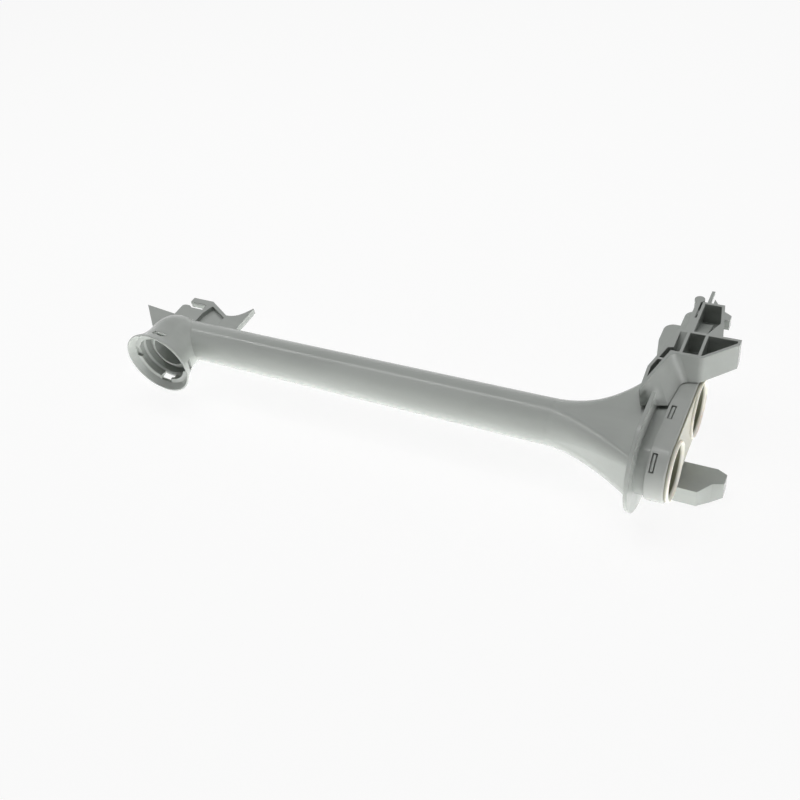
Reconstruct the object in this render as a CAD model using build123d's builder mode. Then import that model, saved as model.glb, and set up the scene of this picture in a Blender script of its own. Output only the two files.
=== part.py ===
from build123d import *
import os

# Driving dimensions in mm. X runs along the tube to the inlets, -Y leaves the spray-arm socket, and Z is up as
# the part lies.
# Heights of features are measured along Y from the tube axis unless they say otherwise.
tube_rise = 12.0            # tube axis above the origin, which is the middle of the feed sleeve
inlet_x = 300.0             # spray-arm axis to the inlet end face
tube_r_front = 11.15        # outer radius at the socket
tube_r_rear = 12.3          # outer radius where the flare begins
wall = 2.0                  # moulded wall of tube and flare
flare_x = 236.0             # where the tube begins to flare

# Spray-arm socket
socket_r = 16.8             # outer radius of the straight body
socket_wall = 1.6
shoulder_drop = 6.0         # where the domed top begins
bell_drop = 10.0            # where the outside begins to flare
mouth_drop = 25.6           # plane of the mouth
mouth_r = 21.1
mouth_lip = 0.8             # edge thickness of the mouth
ledge_drop = 21.8           # lower face of the bayonet ledges
ledge_t = 1.6
ledge_w = 2.7               # width of the ledges' lower face
lock_groove = 1.0           # depth of the groove behind the ledges
lock_groove_h = 3.4
ceiling_drop = 11.6         # roof of the annular space
sleeve_drop = 14.0          # lower rim of the feed sleeve
sleeve_bore_r = 10.2        # bore of the sleeve and of the elbow above it
sleeve_wall = 1.3
lock_count = 4              # bayonet notches
blind_lock = 1              # the one notch that has no window above it
lock_angle = 98.0           # first notch and window, turned from +X about the socket axis
notch_w = 7.0
window_w = 8.0

# Fin and wire clip on the top of the socket
clip_t = 4.0
fin_reach = 39.8            # fin's tip ahead of the socket axis
fin_top = 18.4
fin_fall = 2.6              # fin's top edge is this much lower at the bump
fin_foot_reach = 22.0       # where the fin's front edge meets the socket's mid height
bump_x = -13.6              # crest of the lead-in bump
bump_r = 3.2
wire_slot_floor = 24.2
wire_slot_h = 4.8
wire_slot_end_x = -1.5
hook_tip_x = -13.6
hook_bar = 4.2              # thickness of the hook's upper bar
hook_corner_x = 1.0
saddle_x = 17.0             # low point behind the hook
saddle_y = 23.8
clip_rear_x = 30.5
clip_rear_top = 34.6
clip_recess = 2.8           # depth of the recess in the near face
clip_rim = 2.4              # border left round that recess

# Inlets and docking head
lower_inlet_drop = 13.4     # lower inlet below the tube axis
inlet_pitch = 44.4
head_r = 16.2               # half width of the head
head_depth = 9.4
head_wall = 1.4
end_plate_t = 2.0
head_gap = 0.2              # fit of the head over the spigot
inlet_rim = 2.4             # head's side to the inlet holes
wire_groove = 5.3           # gap between flange and head for the rack's wire
spigot_wall = 1.2
spigot_short = 2.8          # spigot ends this far short of the end plate
snap_w = 2.4                # snap window along X
snap_h = 9.4                # snap window across
snap_x = 2.6                # head's front edge to the middle of the windows
snap_turn = 37.0            # corner windows turn this far round the ends
snap_gap = 0.6
lug_rise = 1.2

# Flange and flare
flange_t = 2.0
flange_r = 26.9             # half width of the flange
flange_lip = 7.5            # flange beyond the head at both ends
flare_r = 15.6              # outer end radius of the flare at the flange
flare_corner = 8.6          # its far corners' round there
flare_near_corner = 4.0     # its near corners' round there
flare_seam = 0.1            # first section stays this far inside the tube
lower_power = 1.6           # how late the lower side opens
upper_power = 2.7           # how late the upper side opens

# Near bracket: a web beside the head, with ribs standing up from it; X is measured from the inlet end face
side_gap = 0.4              # wing and bracket webs to the head
web_t = 2.0
rib_t = 1.5
bracket_depth = 13.9        # web's inner face to the ribs' edges
guard_foot_x = -21.9        # foot of the sloping guard wall
guard_foot_y = 4.1
web_foot_x = -22.1          # the same foot at the web
web_foot_y = 8.5
foot_lap = 0.4              # guard's foot reaches this far past the web's corner
guard_mid_x = -18.1
guard_mid_y = 20.0
guard_root_x = -9.7         # the guard and the horn spread towards the web
guard_root_y = 12.0
horn_low = 34.8             # underside of the guide horn
horn_root_x = -7.8
horn_root_y = 30.0
horn_top = 53.2
horn_front_x = -14.4        # corner between guard wall and horn
horn_back_x = -16.2
horn_round = 5.0            # that corner's round
ramp_round = 4.0
ramp_x = 0.3                # where the horn's underside begins to rise
arch_y = 32.2               # underside of the horn at the web
horn_tip_x = 14.7
horn_tip_y = 49.4
horn_tip_root_y = 47.6
cell_front_x = -18.8        # front wall of the first cell, which runs down beside the guard
cell_front_y = 38.9
slot_front_x = -22.8
slot_front_y = 22.0
cell_rib_1_x = -10.6
cell_rib_2_x = -1.6
cell_ramp_y = 40.5          # foot of the first cell's sloping floor
slot_rib_y = 29.0           # rib across the slot
waist_x = -22.8             # front edge of the web between foot and ear
waist_y = 37.0
foot_x = -25.4
foot_y = 18.0
ear_x = -26.5               # front edge of the rounded ear
ear_low = 56.0
ear_top = 70.0
ear_round = 5.0
step_x = -19.0
step_top = 83.3
tower_x = -10.0
tower_top = 77.5
tower_top_x = 1.0
tower_foot_x = 6.0
tower_ramp_z = 10.5         # rise of the sloping floor in the tower
tower_ramp_low = 4.0        # its rise at its upper end
tower_ramp_y = 70.0
gusset_x = -2.4
gusset_top_x = 3.4
gusset_top_y = 65.5
finger_w = 2.2
finger_slit = 1.0
finger_foot_y = 52.0
finger_root = 12.0
finger_top_y = 79.2
finger_knob_r = 2.6
latch_depth = 6.0           # finger, knob, tooth and keeper across Z
prong_depth = 2.2
prong_back = 3.0            # prong's far face behind the ribs' edges
prong_x = -7.2
prong_w = 1.6
prong_top_y = 88.4
tooth_x = -4.8
tooth_h = 3.4
keeper_x = 5.9
keeper_foot_y = 66.0
keeper_root_x = 2.4
keeper_top_y = 70.0
keeper_slope = 3.0

# Far guide wing; X is measured from the inlet end face
wing_low = -8.2
wing_top = 9.6
wing_ramp_x = 11.3
wing_knee_x = 16.8
wing_knee_y = -0.8
wing_tip_x = 22.1
wing_tip_low = 1.1
wing_tip_top = 7.2
wing_top_x = 17.2
wing_rib_x = 4.0
wing_swell = 0.3            # far edge bulges this much where the near edge has its knee

# Inlet seal
seal_inset = 1.1            # head's side to the seals' flanges, also the head's edge round
seal_flange_t = 2.1         # how far its two lips stand out
seal_plate_t = 0.8          # plate between the lips
seal_wall = 1.2
seal_lip_gap = 0.3          # inner lip to the head's wall
seal_lead_in = 1.7          # funnel at each mouth
seal_lip_t = 1.2
seal_fit = 0.05
seal_round = 0.6

# Diverter rocker
pivot_back = 3.0            # pivot behind the end plate's inner face
pivot_pin_r = 1.5
pivot_play = 0.05
barrel_r = 2.2
rocker_half = 7.7           # half length of the barrel
lug_t = 2.5
lug_r = 3.2
disc_play = 0.4             # disc to the spigot's bore
disc_t = 1.6
arm_w = 10.0
seat_gap = 0.3              # disc to seal when shut
rocker_angle = 16.0         # bend of the rocker, and its travel

# Places worked out from the dimensions
side = Plane((0, tube_rise, 0))
head_side = Plane((inlet_x, tube_rise, 0))
upper_inlet_y = inlet_pitch - lower_inlet_drop
inlet_mid_y = upper_inlet_y - inlet_pitch / 2
inlet_heights = (-lower_inlet_drop, upper_inlet_y)
head_x = inlet_x - head_depth
end_inner_x = inlet_x - end_plate_t
flange_x = head_x - wire_groove - flange_t
spigot_r = head_r - head_wall - head_gap
spigot_bore_r = spigot_r - spigot_wall
spigot_end_x = end_inner_x - spigot_short
inlet_hole_r = head_r - inlet_rim
seal_flange_r = head_r - seal_inset
seal_bore_r = inlet_hole_r - seal_wall
seal_lip_r = head_r - head_wall - seal_lip_gap
disc_r = spigot_bore_r - disc_play
socket_bore_r = socket_r - socket_wall
tube_axis = Axis((0, tube_rise, 0), (1, 0, 0))
web_z = head_r + side_gap
web_top_z = web_z + web_t
rib_z = web_z + bracket_depth
pivot_x = end_inner_x - pivot_back
snap_places = [
    (inlet_mid_y, 0),
    (inlet_mid_y, 180),
    (-lower_inlet_drop, snap_turn),
    (-lower_inlet_drop, 180 - snap_turn),
    (upper_inlet_y, -snap_turn),
    (upper_inlet_y, 180 + snap_turn),
]


def station(x):
    """Cross-section plane at x, with its own x along Y and its origin on the tube axis."""
    return Plane((x, tube_rise, 0), x_dir=(0, 1, 0), z_dir=(1, 0, 0))


def snap_spots(radius):
    """Places of the snap windows and lugs round the head, at a radius from the inlet axes."""
    spots = []
    for height, turn in snap_places:
        middle = Location((head_x + snap_x, tube_rise + height, 0), (turn, 0, 0))
        spots.append(middle * Location((0, 0, radius)))
    return spots


def flare_sections(inset):
    """Sections of the flare, from the round tube to the rounded oblong at the flange."""
    start_r = tube_r_rear - flare_seam
    sections = []
    for share in (0.0, 0.25, 0.5, 0.75, 0.9, 1.0):
        lower = start_r + (lower_inlet_drop + flare_r - start_r) * share**lower_power - inset
        upper = start_r + (upper_inlet_y + flare_r - start_r) * share**upper_power - inset
        half = start_r + (flare_r - start_r) * share**2 - inset
        full_round = start_r - flare_seam - inset
        far_round = full_round + (flare_corner - start_r) * share
        near_round = full_round + (flare_near_corner - start_r) * share
        with BuildSketch(station(flare_x + (flange_x - flare_x) * share)) as section:
            with Locations(((upper - lower) / 2, 0)):
                Rectangle(upper + lower, 2 * half)
            fillet(section.vertices().group_by(Axis.Y)[0], radius=far_round)
            fillet(section.vertices().group_by(Axis.Y)[-1], radius=near_round)
        sections.append(section.sketch)
    return sections


# Duct body: socket, tube, flare, flange, clip, bracket and wing in one moulding
with BuildPart() as duct_body:
    # Outside of the tube
    with BuildSketch(side):
        Polygon((0, 0), (0, tube_r_front), (flare_x, tube_r_rear), (flare_x, 0), align=None)
    revolve(axis=tube_axis)

    # Outside of the flare
    loft(flare_sections(0))

    # Flange, with its near upper corner left out for the bracket
    with BuildSketch(station(flange_x)):
        with Locations((inlet_mid_y, 0)):
            SlotOverall(inlet_pitch + 2 * (head_r + flange_lip), 2 * flange_r)
        with Locations((web_foot_y, web_top_z)):
            Rectangle(2 * inlet_pitch, 2 * flange_r, align=(Align.MIN, Align.MIN), mode=Mode.SUBTRACT)
    extrude(amount=flange_t)

    # Spigot that carries the head
    with BuildSketch(station(flange_x)):
        with Locations((inlet_mid_y, 0)):
            SlotCenterToCenter(inlet_pitch, 2 * spigot_r)
    extrude(amount=spigot_end_x - flange_x)
    with Locations(*snap_spots(spigot_r)):
        Box(snap_w - 2 * snap_gap, snap_h - 2 * snap_gap, 2 * lug_rise)

    # Outside of the socket, turned about the spray-arm axis
    with BuildSketch(side):
        with BuildLine():
            Line((0, socket_r - shoulder_drop), (0, -mouth_drop))
            Line((0, -mouth_drop), (mouth_r, -mouth_drop))
            Line((mouth_r, -mouth_drop), (mouth_r, mouth_lip - mouth_drop))
            TangentArc((socket_r, -bell_drop), (mouth_r, mouth_lip - mouth_drop), tangent=(0, -1))
            Line((socket_r, -bell_drop), (socket_r, -shoulder_drop))
            CenterArc((0, -shoulder_drop), socket_r, 0, 90)
        make_face()
    revolve(axis=Axis.Y)

    # Fin and wire clip, one plate in the middle plane
    hook_under = wire_slot_floor + wire_slot_h
    hook_top = hook_under + hook_bar
    with BuildSketch(side.offset(-clip_t / 2)):
        with BuildLine():
            Polyline(
                (clip_rear_x, 0),
                (-fin_foot_reach, 0),
                (-fin_reach, fin_top),
                (bump_x - bump_r, fin_top - fin_fall),
                (bump_x - bump_r, wire_slot_floor),
                (wire_slot_end_x, wire_slot_floor),
                (wire_slot_end_x, hook_under),
                (hook_tip_x, hook_under),
                (hook_tip_x, hook_top),
                (hook_corner_x, hook_top),
                (saddle_x, saddle_y),
            )
            Spline((saddle_x, saddle_y), (clip_rear_x, clip_rear_top), tangents=((1, 0), (1, 1.6)))
            Line((clip_rear_x, clip_rear_top), (clip_rear_x, 0))
        make_face()
        with Locations((bump_x, wire_slot_floor)):
            Ellipse(bump_r, bump_r / 2)
    extrude(amount=clip_t)
    with BuildSketch(side.offset(clip_t / 2)):
        Polygon(
            (wire_slot_end_x + clip_rim, tube_r_front),
            (saddle_x, tube_r_front),
            (saddle_x, saddle_y - clip_rim),
            (hook_corner_x + clip_rim, hook_under),
            (wire_slot_end_x + clip_rim, wire_slot_floor - clip_rim),
            align=None,
        )
    extrude(amount=-clip_recess, mode=Mode.SUBTRACT)

    # Web of the near bracket, beside the head
    with BuildSketch(head_side.offset(web_z)) as web_outline:
        Polygon(
            (web_foot_x, web_foot_y),
            (guard_mid_x, guard_mid_y),
            (horn_front_x, horn_low),
            (ramp_x, horn_low),
            (horn_tip_x, horn_tip_y),
            (horn_tip_x, horn_top),
            (tower_foot_x, horn_top),
            (tower_top_x, tower_top),
            (tower_x, tower_top),
            (tower_x, step_top),
            (step_x, step_top),
            (step_x, ear_top),
            (ear_x, ear_top),
            (ear_x, ear_low),
            (waist_x, waist_y),
            (foot_x, foot_y),
            align=None,
        )
        ear_corner = web_outline.vertices().group_by(Axis.X)[0].group_by(Axis.Y)[-1]
        step_corner = web_outline.vertices().group_by(Axis.Y)[-1].group_by(Axis.X)[0]
        fillet(ear_corner + step_corner, radius=ear_round)
    extrude(amount=web_t)

    # Guard wall and guide horn in one sweep, spreading from the ribs' edges down to the web
    horn_back = ((horn_tip_x, horn_top), (horn_back_x, horn_top))
    with BuildSketch(head_side.offset(web_z)):
        Polygon(
            (web_foot_x, web_foot_y - foot_lap),
            (guard_root_x, guard_root_y),
            (horn_root_x, horn_root_y),
            (ramp_x, arch_y),
            (horn_tip_x, horn_tip_root_y),
            *horn_back,
            (waist_x, waist_y),
            (foot_x, foot_y),
            align=None,
        )
    with BuildSketch(head_side.offset(rib_z)):
        Polygon(
            (guard_foot_x, guard_foot_y),
            (guard_mid_x, guard_mid_y),
            (horn_front_x, horn_low),
            (ramp_x, horn_low),
            (horn_tip_x, horn_tip_y),
            *horn_back,
            (cell_front_x, cell_front_y),
            (slot_front_x, slot_front_y),
            align=None,
        )
    loft(ruled=True)
    rib_mid_z = (web_z + rib_z) / 2
    horn_corner_x = inlet_x + (horn_front_x + horn_root_x) / 2
    horn_corner = (horn_corner_x, tube_rise + (horn_low + horn_root_y) / 2, rib_mid_z)
    fillet(duct_body.edges().sort_by_distance(horn_corner)[0], radius=horn_round)
    ramp_corner = (inlet_x + ramp_x, tube_rise + (horn_low + arch_y) / 2, rib_mid_z)
    fillet(duct_body.edges().sort_by_distance(ramp_corner)[0], radius=ramp_round)

    # Three open cells in the horn; the first has a sloping floor and runs on as a slot behind the guard
    first_cell_end = cell_rib_1_x - rib_t / 2
    with BuildSketch(head_side.offset(web_top_z)):
        Polygon(
            (guard_foot_x, guard_foot_y),
            (horn_front_x, horn_low),
            (ramp_x, horn_low),
            (horn_tip_x, horn_tip_y),
            (horn_tip_x, horn_top),
            (first_cell_end, horn_top),
            (first_cell_end, cell_ramp_y + rib_t),
            (cell_front_x, cell_front_y),
            (slot_front_x, slot_front_y),
            align=None,
        )
        offset(amount=-rib_t, kind=Kind.INTERSECTION, mode=Mode.REPLACE)
        for rib_x in (cell_rib_1_x, cell_rib_2_x):
            with Locations((rib_x, horn_low)):
                Rectangle(rib_t, horn_top - horn_low, align=(Align.CENTER, Align.MIN), mode=Mode.SUBTRACT)
        with Locations((slot_front_x, slot_rib_y)):
            slot_w = horn_front_x - slot_front_x
            Rectangle(slot_w, rib_t, align=(Align.MIN, Align.CENTER), mode=Mode.SUBTRACT)
    extrude(amount=bracket_depth, mode=Mode.SUBTRACT)
    first_cell_start = horn_back_x + rib_t
    with BuildSketch(station(inlet_x + first_cell_start)):
        Polygon(
            (horn_low + rib_t, web_top_z),
            (cell_ramp_y, web_top_z),
            (horn_top - rib_t, rib_z),
            (horn_low + rib_t, rib_z),
            align=None,
        )
    extrude(amount=first_cell_end - first_cell_start, mode=Mode.SUBTRACT)

    # Tower: an open channel above the horn with a sloping floor and a gusset
    tower_points = (
        (tower_x, horn_top - rib_t),
        (tower_foot_x, horn_top - rib_t),
        (tower_top_x, tower_top),
        (tower_x, tower_top),
    )
    with BuildSketch(head_side.offset(web_z)):
        Polygon(*tower_points, align=None)
    extrude(amount=bracket_depth)
    with BuildSketch(head_side.offset(web_top_z)):
        Polygon(*tower_points, align=None)
        offset(amount=-rib_t, kind=Kind.INTERSECTION, mode=Mode.REPLACE)
        Polygon(
            (gusset_x, horn_top - rib_t),
            (tower_foot_x, horn_top - rib_t),
            (gusset_top_x, gusset_top_y),
            align=None,
            mode=Mode.SUBTRACT,
        )
    extrude(amount=bracket_depth, mode=Mode.SUBTRACT)
    with BuildSketch(station(inlet_x + tower_x)):
        Polygon(
            (horn_top, web_z),
            (tower_ramp_y, web_z),
            (tower_ramp_y, web_top_z + tower_ramp_low),
            (horn_top, web_top_z + tower_ramp_z),
            align=None,
        )
    extrude(amount=gusset_x - tower_x)

    # Latch finger beside the tower, with its knob, prong, tooth and keeper
    finger_x = tower_x - finger_slit - finger_w
    with BuildSketch(head_side.offset(web_z)):
        with Locations((finger_x, finger_foot_y)):
            Rectangle(tower_x - finger_x, finger_root, align=Align.MIN)
    extrude(amount=bracket_depth)
    with BuildSketch(head_side.offset(rib_z - latch_depth)):
        with Locations((finger_x, finger_foot_y)):
            Rectangle(finger_w, finger_top_y - finger_foot_y, align=Align.MIN)
        with Locations((finger_x + finger_w / 2, finger_top_y)):
            Circle(finger_knob_r)
        Polygon(
            (tooth_x, tower_top - rib_t),
            (tooth_x + tooth_h, tower_top - rib_t),
            (tooth_x, tower_top + tooth_h),
            align=None,
        )
        Polygon(
            (tower_top_x, keeper_top_y + keeper_slope),
            (keeper_x, keeper_top_y),
            (keeper_x, keeper_foot_y),
            (keeper_root_x, keeper_foot_y),
            align=None,
        )
    extrude(amount=latch_depth)
    with BuildSketch(head_side.offset(rib_z - prong_back)):
        with Locations((prong_x, tower_top - rib_t)):
            Rectangle(prong_w, prong_top_y - tower_top + rib_t, align=(Align.CENTER, Align.MIN))
    extrude(amount=prong_depth)

    # Far guide wing, open towards -Z
    wing_root_x = flange_x - inlet_x
    wing_start = ((wing_root_x, wing_low), (wing_ramp_x, wing_low))
    wing_end = (
        (wing_tip_x, wing_tip_low),
        (wing_tip_x, wing_tip_top),
        (wing_top_x, wing_top),
        (wing_root_x, wing_top),
    )
    ramp_share = (wing_knee_x - wing_ramp_x) / (wing_tip_x - wing_ramp_x)
    far_knee_y = wing_low + (wing_tip_low - wing_low) * ramp_share - wing_swell
    wing_points = (*wing_start, (wing_knee_x, wing_knee_y), *wing_end)
    with BuildSketch(head_side.offset(-web_z)):
        Polygon(*wing_points, align=None)
    with BuildSketch(head_side.offset(-flange_r)):
        Polygon(*wing_start, (wing_knee_x, far_knee_y), *wing_end, align=None)
    loft(ruled=True)
    with BuildSketch(head_side.offset(-web_top_z)):
        Polygon(*wing_points, align=None)
        offset(amount=-rib_t, kind=Kind.INTERSECTION, mode=Mode.REPLACE)
        with Locations((wing_rib_x, wing_low)):
            Rectangle(rib_t, wing_top - wing_low, align=(Align.CENTER, Align.MIN), mode=Mode.SUBTRACT)
        with Locations((wing_root_x, wing_low)):
            Rectangle(flange_t, wing_top - wing_low, align=Align.MIN, mode=Mode.SUBTRACT)
    extrude(amount=web_top_z - flange_r, mode=Mode.SUBTRACT)

    # Inside of the socket: mouth, ledges, lock groove and annular space
    ledge_top_drop = ledge_drop - ledge_t
    groove_top_drop = ledge_top_drop - lock_groove_h
    with BuildSketch(side):
        Polygon(
            (0, -mouth_drop),
            (mouth_r - mouth_lip, -mouth_drop),
            (socket_bore_r + ledge_w, -ledge_drop),
            (socket_bore_r, -ledge_drop),
            (socket_bore_r, -ledge_top_drop),
            (socket_bore_r + lock_groove, -ledge_top_drop),
            (socket_bore_r + lock_groove, -groove_top_drop),
            (socket_bore_r, -groove_top_drop + lock_groove),
            (socket_bore_r, -ceiling_drop),
            (0, -ceiling_drop),
            align=None,
        )
    revolve(axis=Axis.Y, mode=Mode.SUBTRACT)
    for step in range(lock_count):
        turn = lock_angle + step * 360 / lock_count
        notch_y = tube_rise - ledge_drop + ledge_t / 2
        window_y = tube_rise - ledge_top_drop + lock_groove_h / 2
        with Locations(Location((0, notch_y, 0), (0, turn, 0)) * Location((socket_bore_r, 0, 0))):
            Box(2 * ledge_w, ledge_t, notch_w, mode=Mode.SUBTRACT)
        if step == blind_lock:
            continue
        with Locations(Location((0, window_y, 0), (0, turn, 0)) * Location((socket_r, 0, 0))):
            Box(4 * socket_wall, lock_groove_h, window_w, mode=Mode.SUBTRACT)

    # Feed sleeve
    with BuildSketch(side):
        with Locations((sleeve_bore_r, -sleeve_drop)):
            Rectangle(sleeve_wall, sleeve_drop - ceiling_drop, align=Align.MIN)
    revolve(axis=Axis.Y)

    # Water space: elbow, tube bore, flare and spigot
    with BuildSketch(side):
        with Locations((0, -shoulder_drop)):
            Circle(socket_r - wall)
        with Locations((0, -sleeve_drop)):
            Rectangle(sleeve_bore_r, sleeve_drop + socket_r, align=Align.MIN, mode=Mode.INTERSECT)
    revolve(axis=Axis.Y, mode=Mode.SUBTRACT)
    with BuildSketch(side):
        Polygon((0, 0), (0, tube_r_front - wall), (flare_x, tube_r_rear - wall), (flare_x, 0), align=None)
    revolve(axis=tube_axis, mode=Mode.SUBTRACT)
    loft(flare_sections(wall), mode=Mode.SUBTRACT)
    with BuildSketch(station(flange_x)):
        with Locations((inlet_mid_y, 0)):
            SlotCenterToCenter(inlet_pitch, 2 * spigot_bore_r)
    extrude(amount=spigot_end_x - flange_x, mode=Mode.SUBTRACT)

# Docking head: snap-on cap with two inlets, snap windows and the rocker's bearing lugs
with BuildPart() as docking_head:
    with BuildSketch(station(head_x)):
        with Locations((inlet_mid_y, 0)):
            SlotCenterToCenter(inlet_pitch, 2 * head_r)
    extrude(amount=head_depth)
    end_edges = docking_head.faces().sort_by(Axis.X)[-1].edges()
    fillet(end_edges, radius=seal_inset)
    with BuildSketch(station(head_x)):
        with Locations((inlet_mid_y, 0)):
            SlotCenterToCenter(inlet_pitch, 2 * (head_r - head_wall))
    extrude(amount=head_depth - end_plate_t, mode=Mode.SUBTRACT)
    with BuildSketch(station(end_inner_x)):
        with Locations(*[(height, 0) for height in inlet_heights]):
            Circle(inlet_hole_r)
    extrude(amount=end_plate_t, mode=Mode.SUBTRACT)
    with Locations(*snap_spots(head_r)):
        Box(snap_w, snap_h, 4 * head_wall, mode=Mode.SUBTRACT)
    lug_z = rocker_half + seat_gap
    for lug_plane in (side.offset(lug_z), side.offset(-lug_z - lug_t)):
        with BuildSketch(lug_plane):
            with Locations((pivot_x, inlet_mid_y)):
                Circle(lug_r)
                Rectangle(pivot_back, 2 * lug_r, align=(Align.MIN, Align.CENTER))
                Circle(pivot_pin_r + pivot_play, mode=Mode.SUBTRACT)
        extrude(amount=lug_t)


# Inlet seal: one silicone moulding, a plate over the head's end with a lip and a neck for each inlet
with BuildPart() as inlet_seal:
    for height in inlet_heights:
        with BuildSketch(Plane((0, tube_rise + height, 0))) as seal_section:
            Polygon(
                (end_inner_x - seal_lip_t, seal_bore_r),
                (inlet_x + seal_flange_t - seal_lead_in, seal_bore_r),
                (inlet_x + seal_flange_t, seal_bore_r + seal_lead_in),
                (inlet_x + seal_flange_t, seal_flange_r),
                (inlet_x, seal_flange_r),
                (inlet_x, inlet_hole_r - seal_fit),
                (end_inner_x, inlet_hole_r - seal_fit),
                (end_inner_x, seal_lip_r),
                (end_inner_x - seal_lip_t, seal_lip_r),
                align=None,
            )
            rim = seal_section.vertices().group_by(Axis.X)[-1].sort_by(Axis.Y)[-1]
            fillet(rim, radius=seal_round)
        revolve(axis=Axis((0, tube_rise + height, 0), (1, 0, 0)))
    with BuildSketch(station(inlet_x)):
        with Locations((inlet_mid_y, 0)):
            SlotCenterToCenter(inlet_pitch, 2 * seal_flange_r)
        with Locations(*[(height, 0) for height in inlet_heights]):
            Circle(inlet_hole_r - seal_fit, mode=Mode.SUBTRACT)
    extrude(amount=seal_plate_t)

# Diverter rocker: two discs on a bent arm, shutting the upper inlet as modelled
seat_x = end_inner_x - seal_lip_t - seat_gap
pivot = Location((pivot_x, tube_rise + inlet_mid_y, 0))
arm_face = Plane((seat_x - disc_t - pivot_x, 0, 0), x_dir=(0, 1, 0), z_dir=(1, 0, 0))
with BuildPart() as diverter_rocker:
    for reach, lean in ((inlet_pitch / 2, 0), (-inlet_pitch / 2, -rocker_angle)):
        with BuildSketch(Plane(pivot * Location((0, 0, 0), (0, 0, lean)) * arm_face.location)):
            with Locations((reach, 0)):
                Circle(disc_r)
            with Locations((reach / 2, 0)):
                Rectangle(abs(reach), arm_w)
        extrude(amount=disc_t)
    with BuildSketch(side.offset(-rocker_half)):
        with Locations((pivot_x, inlet_mid_y)):
            Circle(barrel_r)
    extrude(amount=2 * rocker_half)
    with BuildSketch(side.offset(-lug_z - lug_t)):
        with Locations((pivot_x, inlet_mid_y)):
            Circle(pivot_pin_r)
    extrude(amount=2 * (lug_z + lug_t))

os.makedirs("parts", exist_ok=True)
pieces = {
    "duct_body": duct_body,
    "docking_head": docking_head,
    "inlet_seal": inlet_seal,
    "diverter_rocker": diverter_rocker,
}
for name, piece in pieces.items():
    piece.part.label = name
    export_step(piece.part, f"parts/{name}.step")
    print(name, round(piece.part.volume), "mm3")
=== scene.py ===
# %% [markdown]
# # A dishwasher's basket feed duct
# The duct carries water from a nozzle in the tub's back wall to the spray arm under the upper basket. The CAD model
# already holds its real shapes, so this lesson dresses those solids: each piece gets the plastic or rubber that it
# is moulded from, and the scene gets a camera, a floor and soft light like those of a catalogue picture.

import bpy
from mathutils import Matrix, Vector


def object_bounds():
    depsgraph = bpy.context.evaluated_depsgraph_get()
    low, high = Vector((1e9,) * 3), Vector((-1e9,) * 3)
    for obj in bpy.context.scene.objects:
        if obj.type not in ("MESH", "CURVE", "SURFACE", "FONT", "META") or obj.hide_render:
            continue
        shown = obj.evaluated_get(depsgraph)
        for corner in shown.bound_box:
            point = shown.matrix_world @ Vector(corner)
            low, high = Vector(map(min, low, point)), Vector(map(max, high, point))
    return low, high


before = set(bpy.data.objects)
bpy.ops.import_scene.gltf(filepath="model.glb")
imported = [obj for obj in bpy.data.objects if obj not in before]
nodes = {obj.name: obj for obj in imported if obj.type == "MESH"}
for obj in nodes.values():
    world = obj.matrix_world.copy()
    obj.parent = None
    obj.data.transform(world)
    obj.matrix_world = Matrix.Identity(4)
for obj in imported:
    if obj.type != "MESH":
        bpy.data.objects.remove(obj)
cad_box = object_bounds()
print("pieces:", ", ".join(sorted(nodes)))
print("box in metres:", cad_box)

# %% [markdown]
# ## The camera
# A product picture is often taken from above one end, with the camera rolled a little so that a long object runs
# from corner to corner. The camera here was found by matching the tube's edges, the mouth of the socket and the two
# inlets, so it is written as a place and directions instead of angles: they go straight into a matrix, and nothing
# is lost in turning them into rotations. The third direction follows from the other two. The lens follows from the
# focal length in pixels of an image that is 800 pixels wide.

# %% Place the camera
IMAGE_WIDTH = 800
FOCAL_PIXELS = 991.5
SENSOR_MM = 36.0
camera_place = Vector((0.3709, -0.3238, 0.3588))
camera_right = Vector((0.888, 0.439, -0.140)).normalized()
camera_back = Vector((0.410, -0.614, 0.675)).normalized()
camera_up = camera_back.cross(camera_right).normalized()
camera_right = camera_up.cross(camera_back)

camera_data = bpy.data.cameras.new("catalogue_camera")
camera_data.sensor_width = SENSOR_MM
camera_data.lens = FOCAL_PIXELS / IMAGE_WIDTH * SENSOR_MM
camera = bpy.data.objects.new("catalogue_camera", camera_data)
turned = Matrix((camera_right, camera_up, camera_back)).transposed().to_4x4()
camera.matrix_world = Matrix.Translation(camera_place) @ turned
bpy.context.scene.collection.objects.link(camera)
bpy.context.scene.camera = camera
print("lens:", round(camera_data.lens, 2), "mm")

# %% [markdown]
# ## Small helpers
# Colours are easiest to read as the hex values of a picture, but a shader counts in linear light, so one function
# does that sum. Another adds a node, sets it up and joins its inputs in one call, which keeps each material short
# enough to read as a recipe. A colour Mix node has its two colours at sockets 6 and 7 and its result at socket 2,
# because the same node also mixes numbers and vectors. Those places get names here.

# %% Colour and node helpers
MM = 0.001
MIX_A, MIX_B, MIX_RESULT = 6, 7, 2


def linear(code):
    """An sRGB hex colour as linear red, green, blue and alpha."""
    channels = [int(code[i:i + 2], 16) / 255 for i in (1, 3, 5)]
    return [c / 12.92 if c <= 0.04045 else ((c + 0.055) / 1.055) ** 2.4 for c in channels] + [1.0]


def add_node(tree, kind, inputs=None, **settings):
    """Add a node, set its properties, and set or link its inputs."""
    node = tree.nodes.new(kind)
    for name, value in settings.items():
        setattr(node, name, value)
    for name, value in (inputs or {}).items():
        if isinstance(value, bpy.types.NodeSocket):
            tree.links.new(value, node.inputs[name])
        else:
            node.inputs[name].default_value = value
    return node


def new_material(name):
    """An empty node material, its tree and its output node."""
    material = bpy.data.materials.new(name)
    material.use_nodes = True
    material.node_tree.nodes.clear()
    output = add_node(material.node_tree, "ShaderNodeOutputMaterial")
    return material, material.node_tree, output


print("mid grey in linear light:", round(linear("#808080")[0], 4))

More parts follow.
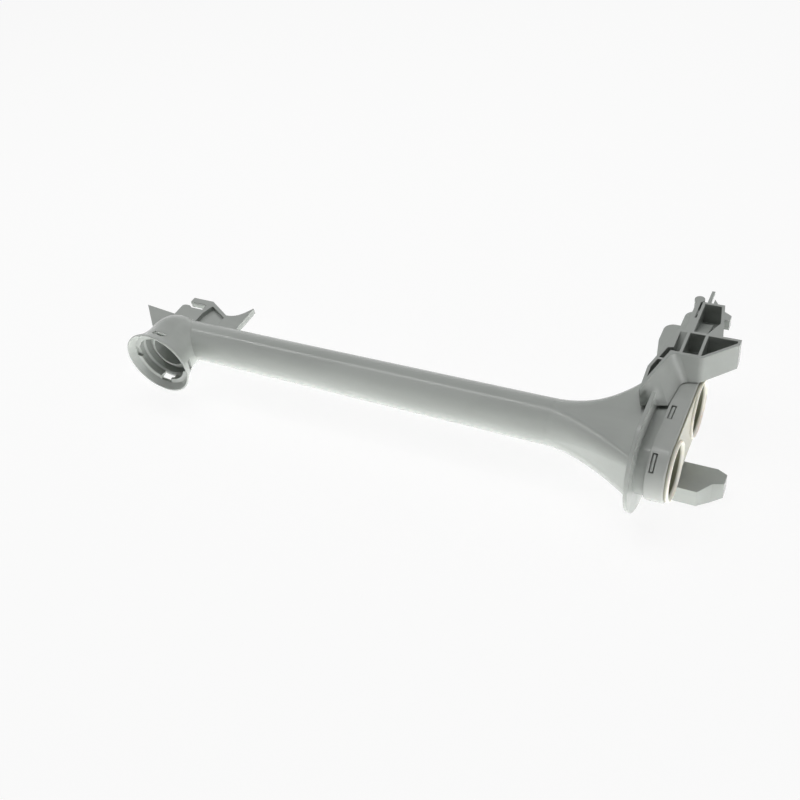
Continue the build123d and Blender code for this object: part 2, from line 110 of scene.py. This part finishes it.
# %% [markdown]
# ## Moulded polypropylene
# The duct and its head are injection moulded in grey polypropylene. The steel mould is spark eroded, so the skin has
# a fine satin grain, and the melt leaves faint cloudy streaks of colour where it flowed down the long tube. Grain and
# clouds are noise patterns with sizes in real millimetres. The true grain is about 0.1 mm, too fine for this picture,
# so it is drawn at 0.5 mm and kept very shallow. The clouds are stretched along the tube, which is how the melt ran.
# They tint the colour and also vary the roughness a little, as flow does. No moulded edge is quite sharp: a bevel
# node turns the normals within 0.5 mm of an edge, so that edges catch light without any new faces.

# %% Polypropylene material
CLOUD_SIZE = 18 * MM
FLOW_STRETCH = 4.0
CLOUD_RANGE = {"From Min": 0.3, "From Max": 0.7}
GRAIN_SIZE = 0.5 * MM
GRAIN_HEIGHT = 0.06 * MM
EDGE_RADIUS = 0.5 * MM
POLYPROPYLENE_IOR = 1.49


def polypropylene(name, dark, light, roughness):
    """Satin moulded plastic between two greys."""
    material, tree, output = new_material(name)
    place = add_node(tree, "ShaderNodeTexCoord").outputs["Object"]
    along_flow = add_node(tree, "ShaderNodeMapping", {"Vector": place, "Scale": (1 / FLOW_STRETCH, 1.0, 1.0)})
    clouds = add_node(tree, "ShaderNodeTexNoise", {
        "Vector": along_flow.outputs["Vector"], "Scale": 1 / CLOUD_SIZE, "Detail": 4.0, "Roughness": 0.55,
    })
    grain = add_node(tree, "ShaderNodeTexNoise", {
        "Vector": place, "Scale": 1 / GRAIN_SIZE, "Detail": 2.0, "Roughness": 0.6,
    })
    tint = add_node(tree, "ShaderNodeMapRange", {"Value": clouds.outputs["Fac"], **CLOUD_RANGE})
    colour = add_node(tree, "ShaderNodeMix", {
        "Factor": tint.outputs["Result"], MIX_A: linear(dark), MIX_B: linear(light),
    }, data_type="RGBA")
    sheen_spread = add_node(tree, "ShaderNodeMapRange", {
        "Value": clouds.outputs["Fac"], **CLOUD_RANGE,
        "To Min": roughness - 0.04, "To Max": roughness + 0.05,
    })
    edges = add_node(tree, "ShaderNodeBevel", {"Radius": EDGE_RADIUS}, samples=6)
    skin = add_node(tree, "ShaderNodeBump", {
        "Height": grain.outputs["Fac"], "Strength": 0.25, "Distance": GRAIN_HEIGHT,
        "Normal": edges.outputs["Normal"],
    })
    plastic = add_node(tree, "ShaderNodeBsdfPrincipled", {
        "Base Color": colour.outputs[MIX_RESULT], "Roughness": sheen_spread.outputs["Result"],
        "IOR": POLYPROPYLENE_IOR, "Normal": skin.outputs["Normal"],
    })
    tree.links.new(plastic.outputs["BSDF"], output.inputs["Surface"])
    return material


duct_plastic = polypropylene("moulded_polypropylene_grey", "#9fa39f", "#a8aca8", 0.20)
head_plastic = polypropylene("moulded_polypropylene_head", "#a2a5a2", "#abaeaa", 0.22)
print("made", duct_plastic.name, "and", head_plastic.name)

# %% [markdown]
# ## Moulded silicone
# The seal over both inlets is one soft moulding in cream-white silicone. Light goes a little way into it, so its
# shadows stay warm: a small amount of subsurface scattering does that. Its bores are painted olive: painted shade,
# standing in for the shade deep inside each inlet. That painted shade depends on depth alone, so the X of each point,
# measured from the end face of the head, mixes the two colours. A painted mask would do as well, but this one needs
# no drawing.

# %% Silicone material
BLOOM_SIZE = 6 * MM
BORE_SHADE_STARTS = 1.4 * MM
BORE_SHADE_FULL = 0.2 * MM
SILICONE_IOR = 1.41
SCATTER_RADIUS = (1.2 * MM, 0.9 * MM, 0.5 * MM)

silicone, tree, output = new_material("moulded_silicone_cream")
place = add_node(tree, "ShaderNodeTexCoord").outputs["Object"]
bloom = add_node(tree, "ShaderNodeTexNoise", {"Vector": place, "Scale": 1 / BLOOM_SIZE, "Detail": 3.0})
cream = add_node(tree, "ShaderNodeMix", {
    "Factor": bloom.outputs["Fac"], MIX_A: linear("#e6e4d9"), MIX_B: linear("#eeece3"),
}, data_type="RGBA")
end_face = max(corner[0] for corner in nodes["docking_head"].bound_box)
depth = add_node(tree, "ShaderNodeSeparateXYZ", {"Vector": place})
# Painted shade: below the end face the bores turn olive, standing in for the shade deep in each inlet.
painted_shade_mask = add_node(tree, "ShaderNodeMapRange", {
    "Value": depth.outputs["X"], "From Min": end_face + BORE_SHADE_FULL, "From Max": end_face + BORE_SHADE_STARTS,
})
painted_bore_shade = add_node(tree, "ShaderNodeMix", {
    "Factor": painted_shade_mask.outputs["Result"], MIX_A: linear("#7b7c69"), MIX_B: cream.outputs[MIX_RESULT],
}, data_type="RGBA")
matt = add_node(tree, "ShaderNodeMapRange", {"Value": bloom.outputs["Fac"], "To Min": 0.5, "To Max": 0.62})
rubber = add_node(tree, "ShaderNodeBsdfPrincipled", {
    "Base Color": painted_bore_shade.outputs[MIX_RESULT], "Roughness": matt.outputs["Result"], "IOR": SILICONE_IOR,
    "Subsurface Weight": 0.2, "Subsurface Radius": SCATTER_RADIUS, "Subsurface Scale": 1.0,
})
tree.links.new(rubber.outputs["BSDF"], output.inputs["Surface"])
print("made", silicone.name, "with its end face at", round(end_face / MM, 2), "mm")

# %% [markdown]
# ## Moulded acetal
# The rocker behind the inlets shuts the one that is not in use. Small moving parts like it are often moulded in
# acetal, a hard and slippery plastic with a soft sheen. Its dark olive is painted shade, standing in for the shade
# deep inside the inlets. Faint drifts of colour keep it from looking like flat paint, and the same pattern varies its
# roughness.

# %% Acetal material
DRIFT_SIZE = 8 * MM
ACETAL_IOR = 1.48

acetal, tree, output = new_material("moulded_acetal_painted_shade_olive")
place = add_node(tree, "ShaderNodeTexCoord").outputs["Object"]
drift = add_node(tree, "ShaderNodeTexNoise", {"Vector": place, "Scale": 1 / DRIFT_SIZE, "Detail": 3.0})
# Painted shade: the rocker's dark olive stands in for the shade deep inside the inlets.
shade_olive = add_node(tree, "ShaderNodeMix", {
    "Factor": drift.outputs["Fac"], MIX_A: linear("#5d5f4c"), MIX_B: linear("#6a6c58"),
}, data_type="RGBA")
slip = add_node(tree, "ShaderNodeMapRange", {"Value": drift.outputs["Fac"], "To Min": 0.3, "To Max": 0.4})
hard = add_node(tree, "ShaderNodeBsdfPrincipled", {
    "Base Color": shade_olive.outputs[MIX_RESULT], "Roughness": slip.outputs["Result"], "IOR": ACETAL_IOR,
})
tree.links.new(hard.outputs["BSDF"], output.inputs["Surface"])
print("made", acetal.name)

# %% [markdown]
# ## Dressing the pieces
# The solids keep their shapes and places, and only their material slots change. Each piece is one moulding in one
# plastic, so one slot is enough, and a table of names is easier to check than four separate calls.

# %% Give each piece its material
finishes = {
    "duct_body": duct_plastic,
    "docking_head": head_plastic,
    "inlet_seal": silicone,
    "diverter_rocker": acetal,
}
for name, finish in finishes.items():
    piece = nodes[name]
    piece.data.materials.clear()
    piece.data.materials.append(finish)
    print(name, "is", finish.name)

# %% [markdown]
# ## Floor
# Catalogue pictures of pale parts are often taken on a light table: an opal sheet that is lit from below, so that the
# low edges of the object are bright and its shadow is faint. The sheet here lets light through as opal plastic does:
# a matt reflection plus a translucent share. To the camera and in mirror-like reflections it is mostly a plain
# glowing white, so that the ground reads as white, and partly matt white, so that the soft shadow under the duct
# stays. The Light Path node tells those rays apart from the rays that light the duct.

# %% Opal floor sheet
FLOOR_GAP = 0.1 * MM
HALF_SHEET = 4.0
SHEET_MIDDLE_X = 0.15
GLOW_SHARE = 0.9
OPAL_WHITE = linear("#fafaf9")
PLAIN_WHITE = linear("#ffffff")


def background_rays(tree):
    """A socket that is 1 for rays that see the background: from the camera, mirrored or through glass."""
    rays = add_node(tree, "ShaderNodeLightPath").outputs
    seen = rays["Is Camera Ray"]
    for kind in ("Is Glossy Ray", "Is Transmission Ray"):
        seen = add_node(tree, "ShaderNodeMath", {0: seen, 1: rays[kind]}, operation="MAXIMUM").outputs[0]
    return seen


floor_height = cad_box[0][2] - FLOOR_GAP
sheet = bpy.data.meshes.new("floor_sheet")
corners = [(x * HALF_SHEET, y * HALF_SHEET, 0) for x, y in ((-1, -1), (1, -1), (1, 1), (-1, 1))]
sheet.from_pydata(corners, [], [(0, 1, 2, 3)])
floor = bpy.data.objects.new("floor_sheet", sheet)
floor.location = (SHEET_MIDDLE_X, 0.0, floor_height)
bpy.context.scene.collection.objects.link(floor)

opal_white, tree, output = new_material("opal_white_sheet")
matt_white = add_node(tree, "ShaderNodeBsdfDiffuse", {"Color": OPAL_WHITE})
let_through = add_node(tree, "ShaderNodeBsdfTranslucent", {"Color": OPAL_WHITE})
opal = add_node(tree, "ShaderNodeAddShader", {0: matt_white.outputs["BSDF"], 1: let_through.outputs["BSDF"]})
glow = add_node(tree, "ShaderNodeEmission", {"Color": PLAIN_WHITE, "Strength": 1.0})
picture_white = add_node(tree, "ShaderNodeMixShader", {
    0: GLOW_SHARE, 1: matt_white.outputs["BSDF"], 2: glow.outputs["Emission"],
})
mixed = add_node(tree, "ShaderNodeMixShader", {
    0: background_rays(tree), 1: opal.outputs["Shader"], 2: picture_white.outputs["Shader"],
})
tree.links.new(mixed.outputs["Shader"], output.inputs["Surface"])
sheet.materials.append(opal_white)
print("floor at", round(floor_height / MM, 2), "mm")

# %% [markdown]
# ## Light
# Three large panels and one narrow lamp light the duct. The strongest panel is below the opal sheet and makes the
# pale band along the tube's low edge. One hangs over the duct and gives its upper faces an even grey. It is hidden
# from mirror-like reflections, because a wide panel would draw a wide pale stripe on the tube. A weak one stands
# beside the inlets and lights the seal and the bracket. The narrow lamp lies along the tube, high up, and draws the
# thin bright line that a satin tube shows. Their low power keeps every colour about as it is written.

# %% Panels and strip lamp
def soft_box(name, place, aim, width, height, power):
    """A rectangular lamp, in metres and watts, turned to face a point."""
    data = bpy.data.lights.new(name, "AREA")
    data.shape = "RECTANGLE"
    data.size = width
    data.size_y = height
    data.energy = power
    lamp = bpy.data.objects.new(name, data)
    lamp.location = place
    lamp.rotation_euler = (Vector(aim) - Vector(place)).to_track_quat("-Z", "Y").to_euler()
    bpy.context.scene.collection.objects.link(lamp)
    print(name, "at", place, power, "W")
    return lamp


duct_middle = (0.14, 0.02, 0.0)
head_middle = (0.29, 0.02, 0.0)
below_strip = (-0.36, 0.012, 0.0)
soft_box("side_panel", (1.05, -0.35, 0.15), head_middle, width=0.6, height=0.3, power=1.5)
overhead = soft_box("overhead_panel", (0.06, 0.18, 1.00), duct_middle, width=1.3, height=0.5, power=6.2)
overhead.visible_glossy = False
soft_box("strip_lamp", (-0.36, 0.27, 0.90), below_strip, width=1.1, height=0.015, power=2.0)
soft_box("table_panel", (0.02, -0.16, -0.50), duct_middle, width=1.0, height=0.8, power=8.0)

# %% [markdown]
# ## Surroundings
# Past the edge of the sheet there is only the world. It is plain white where the camera or a reflection sees it, so
# that it joins the white ground. As a light it is very weak, because white from all sides would wash out the shading.

# %% White surroundings
FILL_STRENGTH = 0.03

world = bpy.data.worlds.new("white_surroundings")
bpy.context.scene.world = world
world.use_nodes = True
tree = world.node_tree
tree.nodes.clear()
output = add_node(tree, "ShaderNodeOutputWorld")
fill = add_node(tree, "ShaderNodeBackground", {"Color": PLAIN_WHITE, "Strength": FILL_STRENGTH})
white = add_node(tree, "ShaderNodeBackground", {"Color": PLAIN_WHITE, "Strength": 1.0})
mixed = add_node(tree, "ShaderNodeMixShader", {
    0: background_rays(tree), 1: fill.outputs["Background"], 2: white.outputs["Background"],
})
tree.links.new(mixed.outputs["Shader"], output.inputs["Surface"])
print("made", world.name)

# %% [markdown]
# ## Finish
# The Standard view shows a colour about as it is written, without a film look. The box of the CAD model is then
# printed once more.

# %% Finish
bpy.context.scene.view_settings.view_transform = "Standard"
print("CAD box:", cad_box)
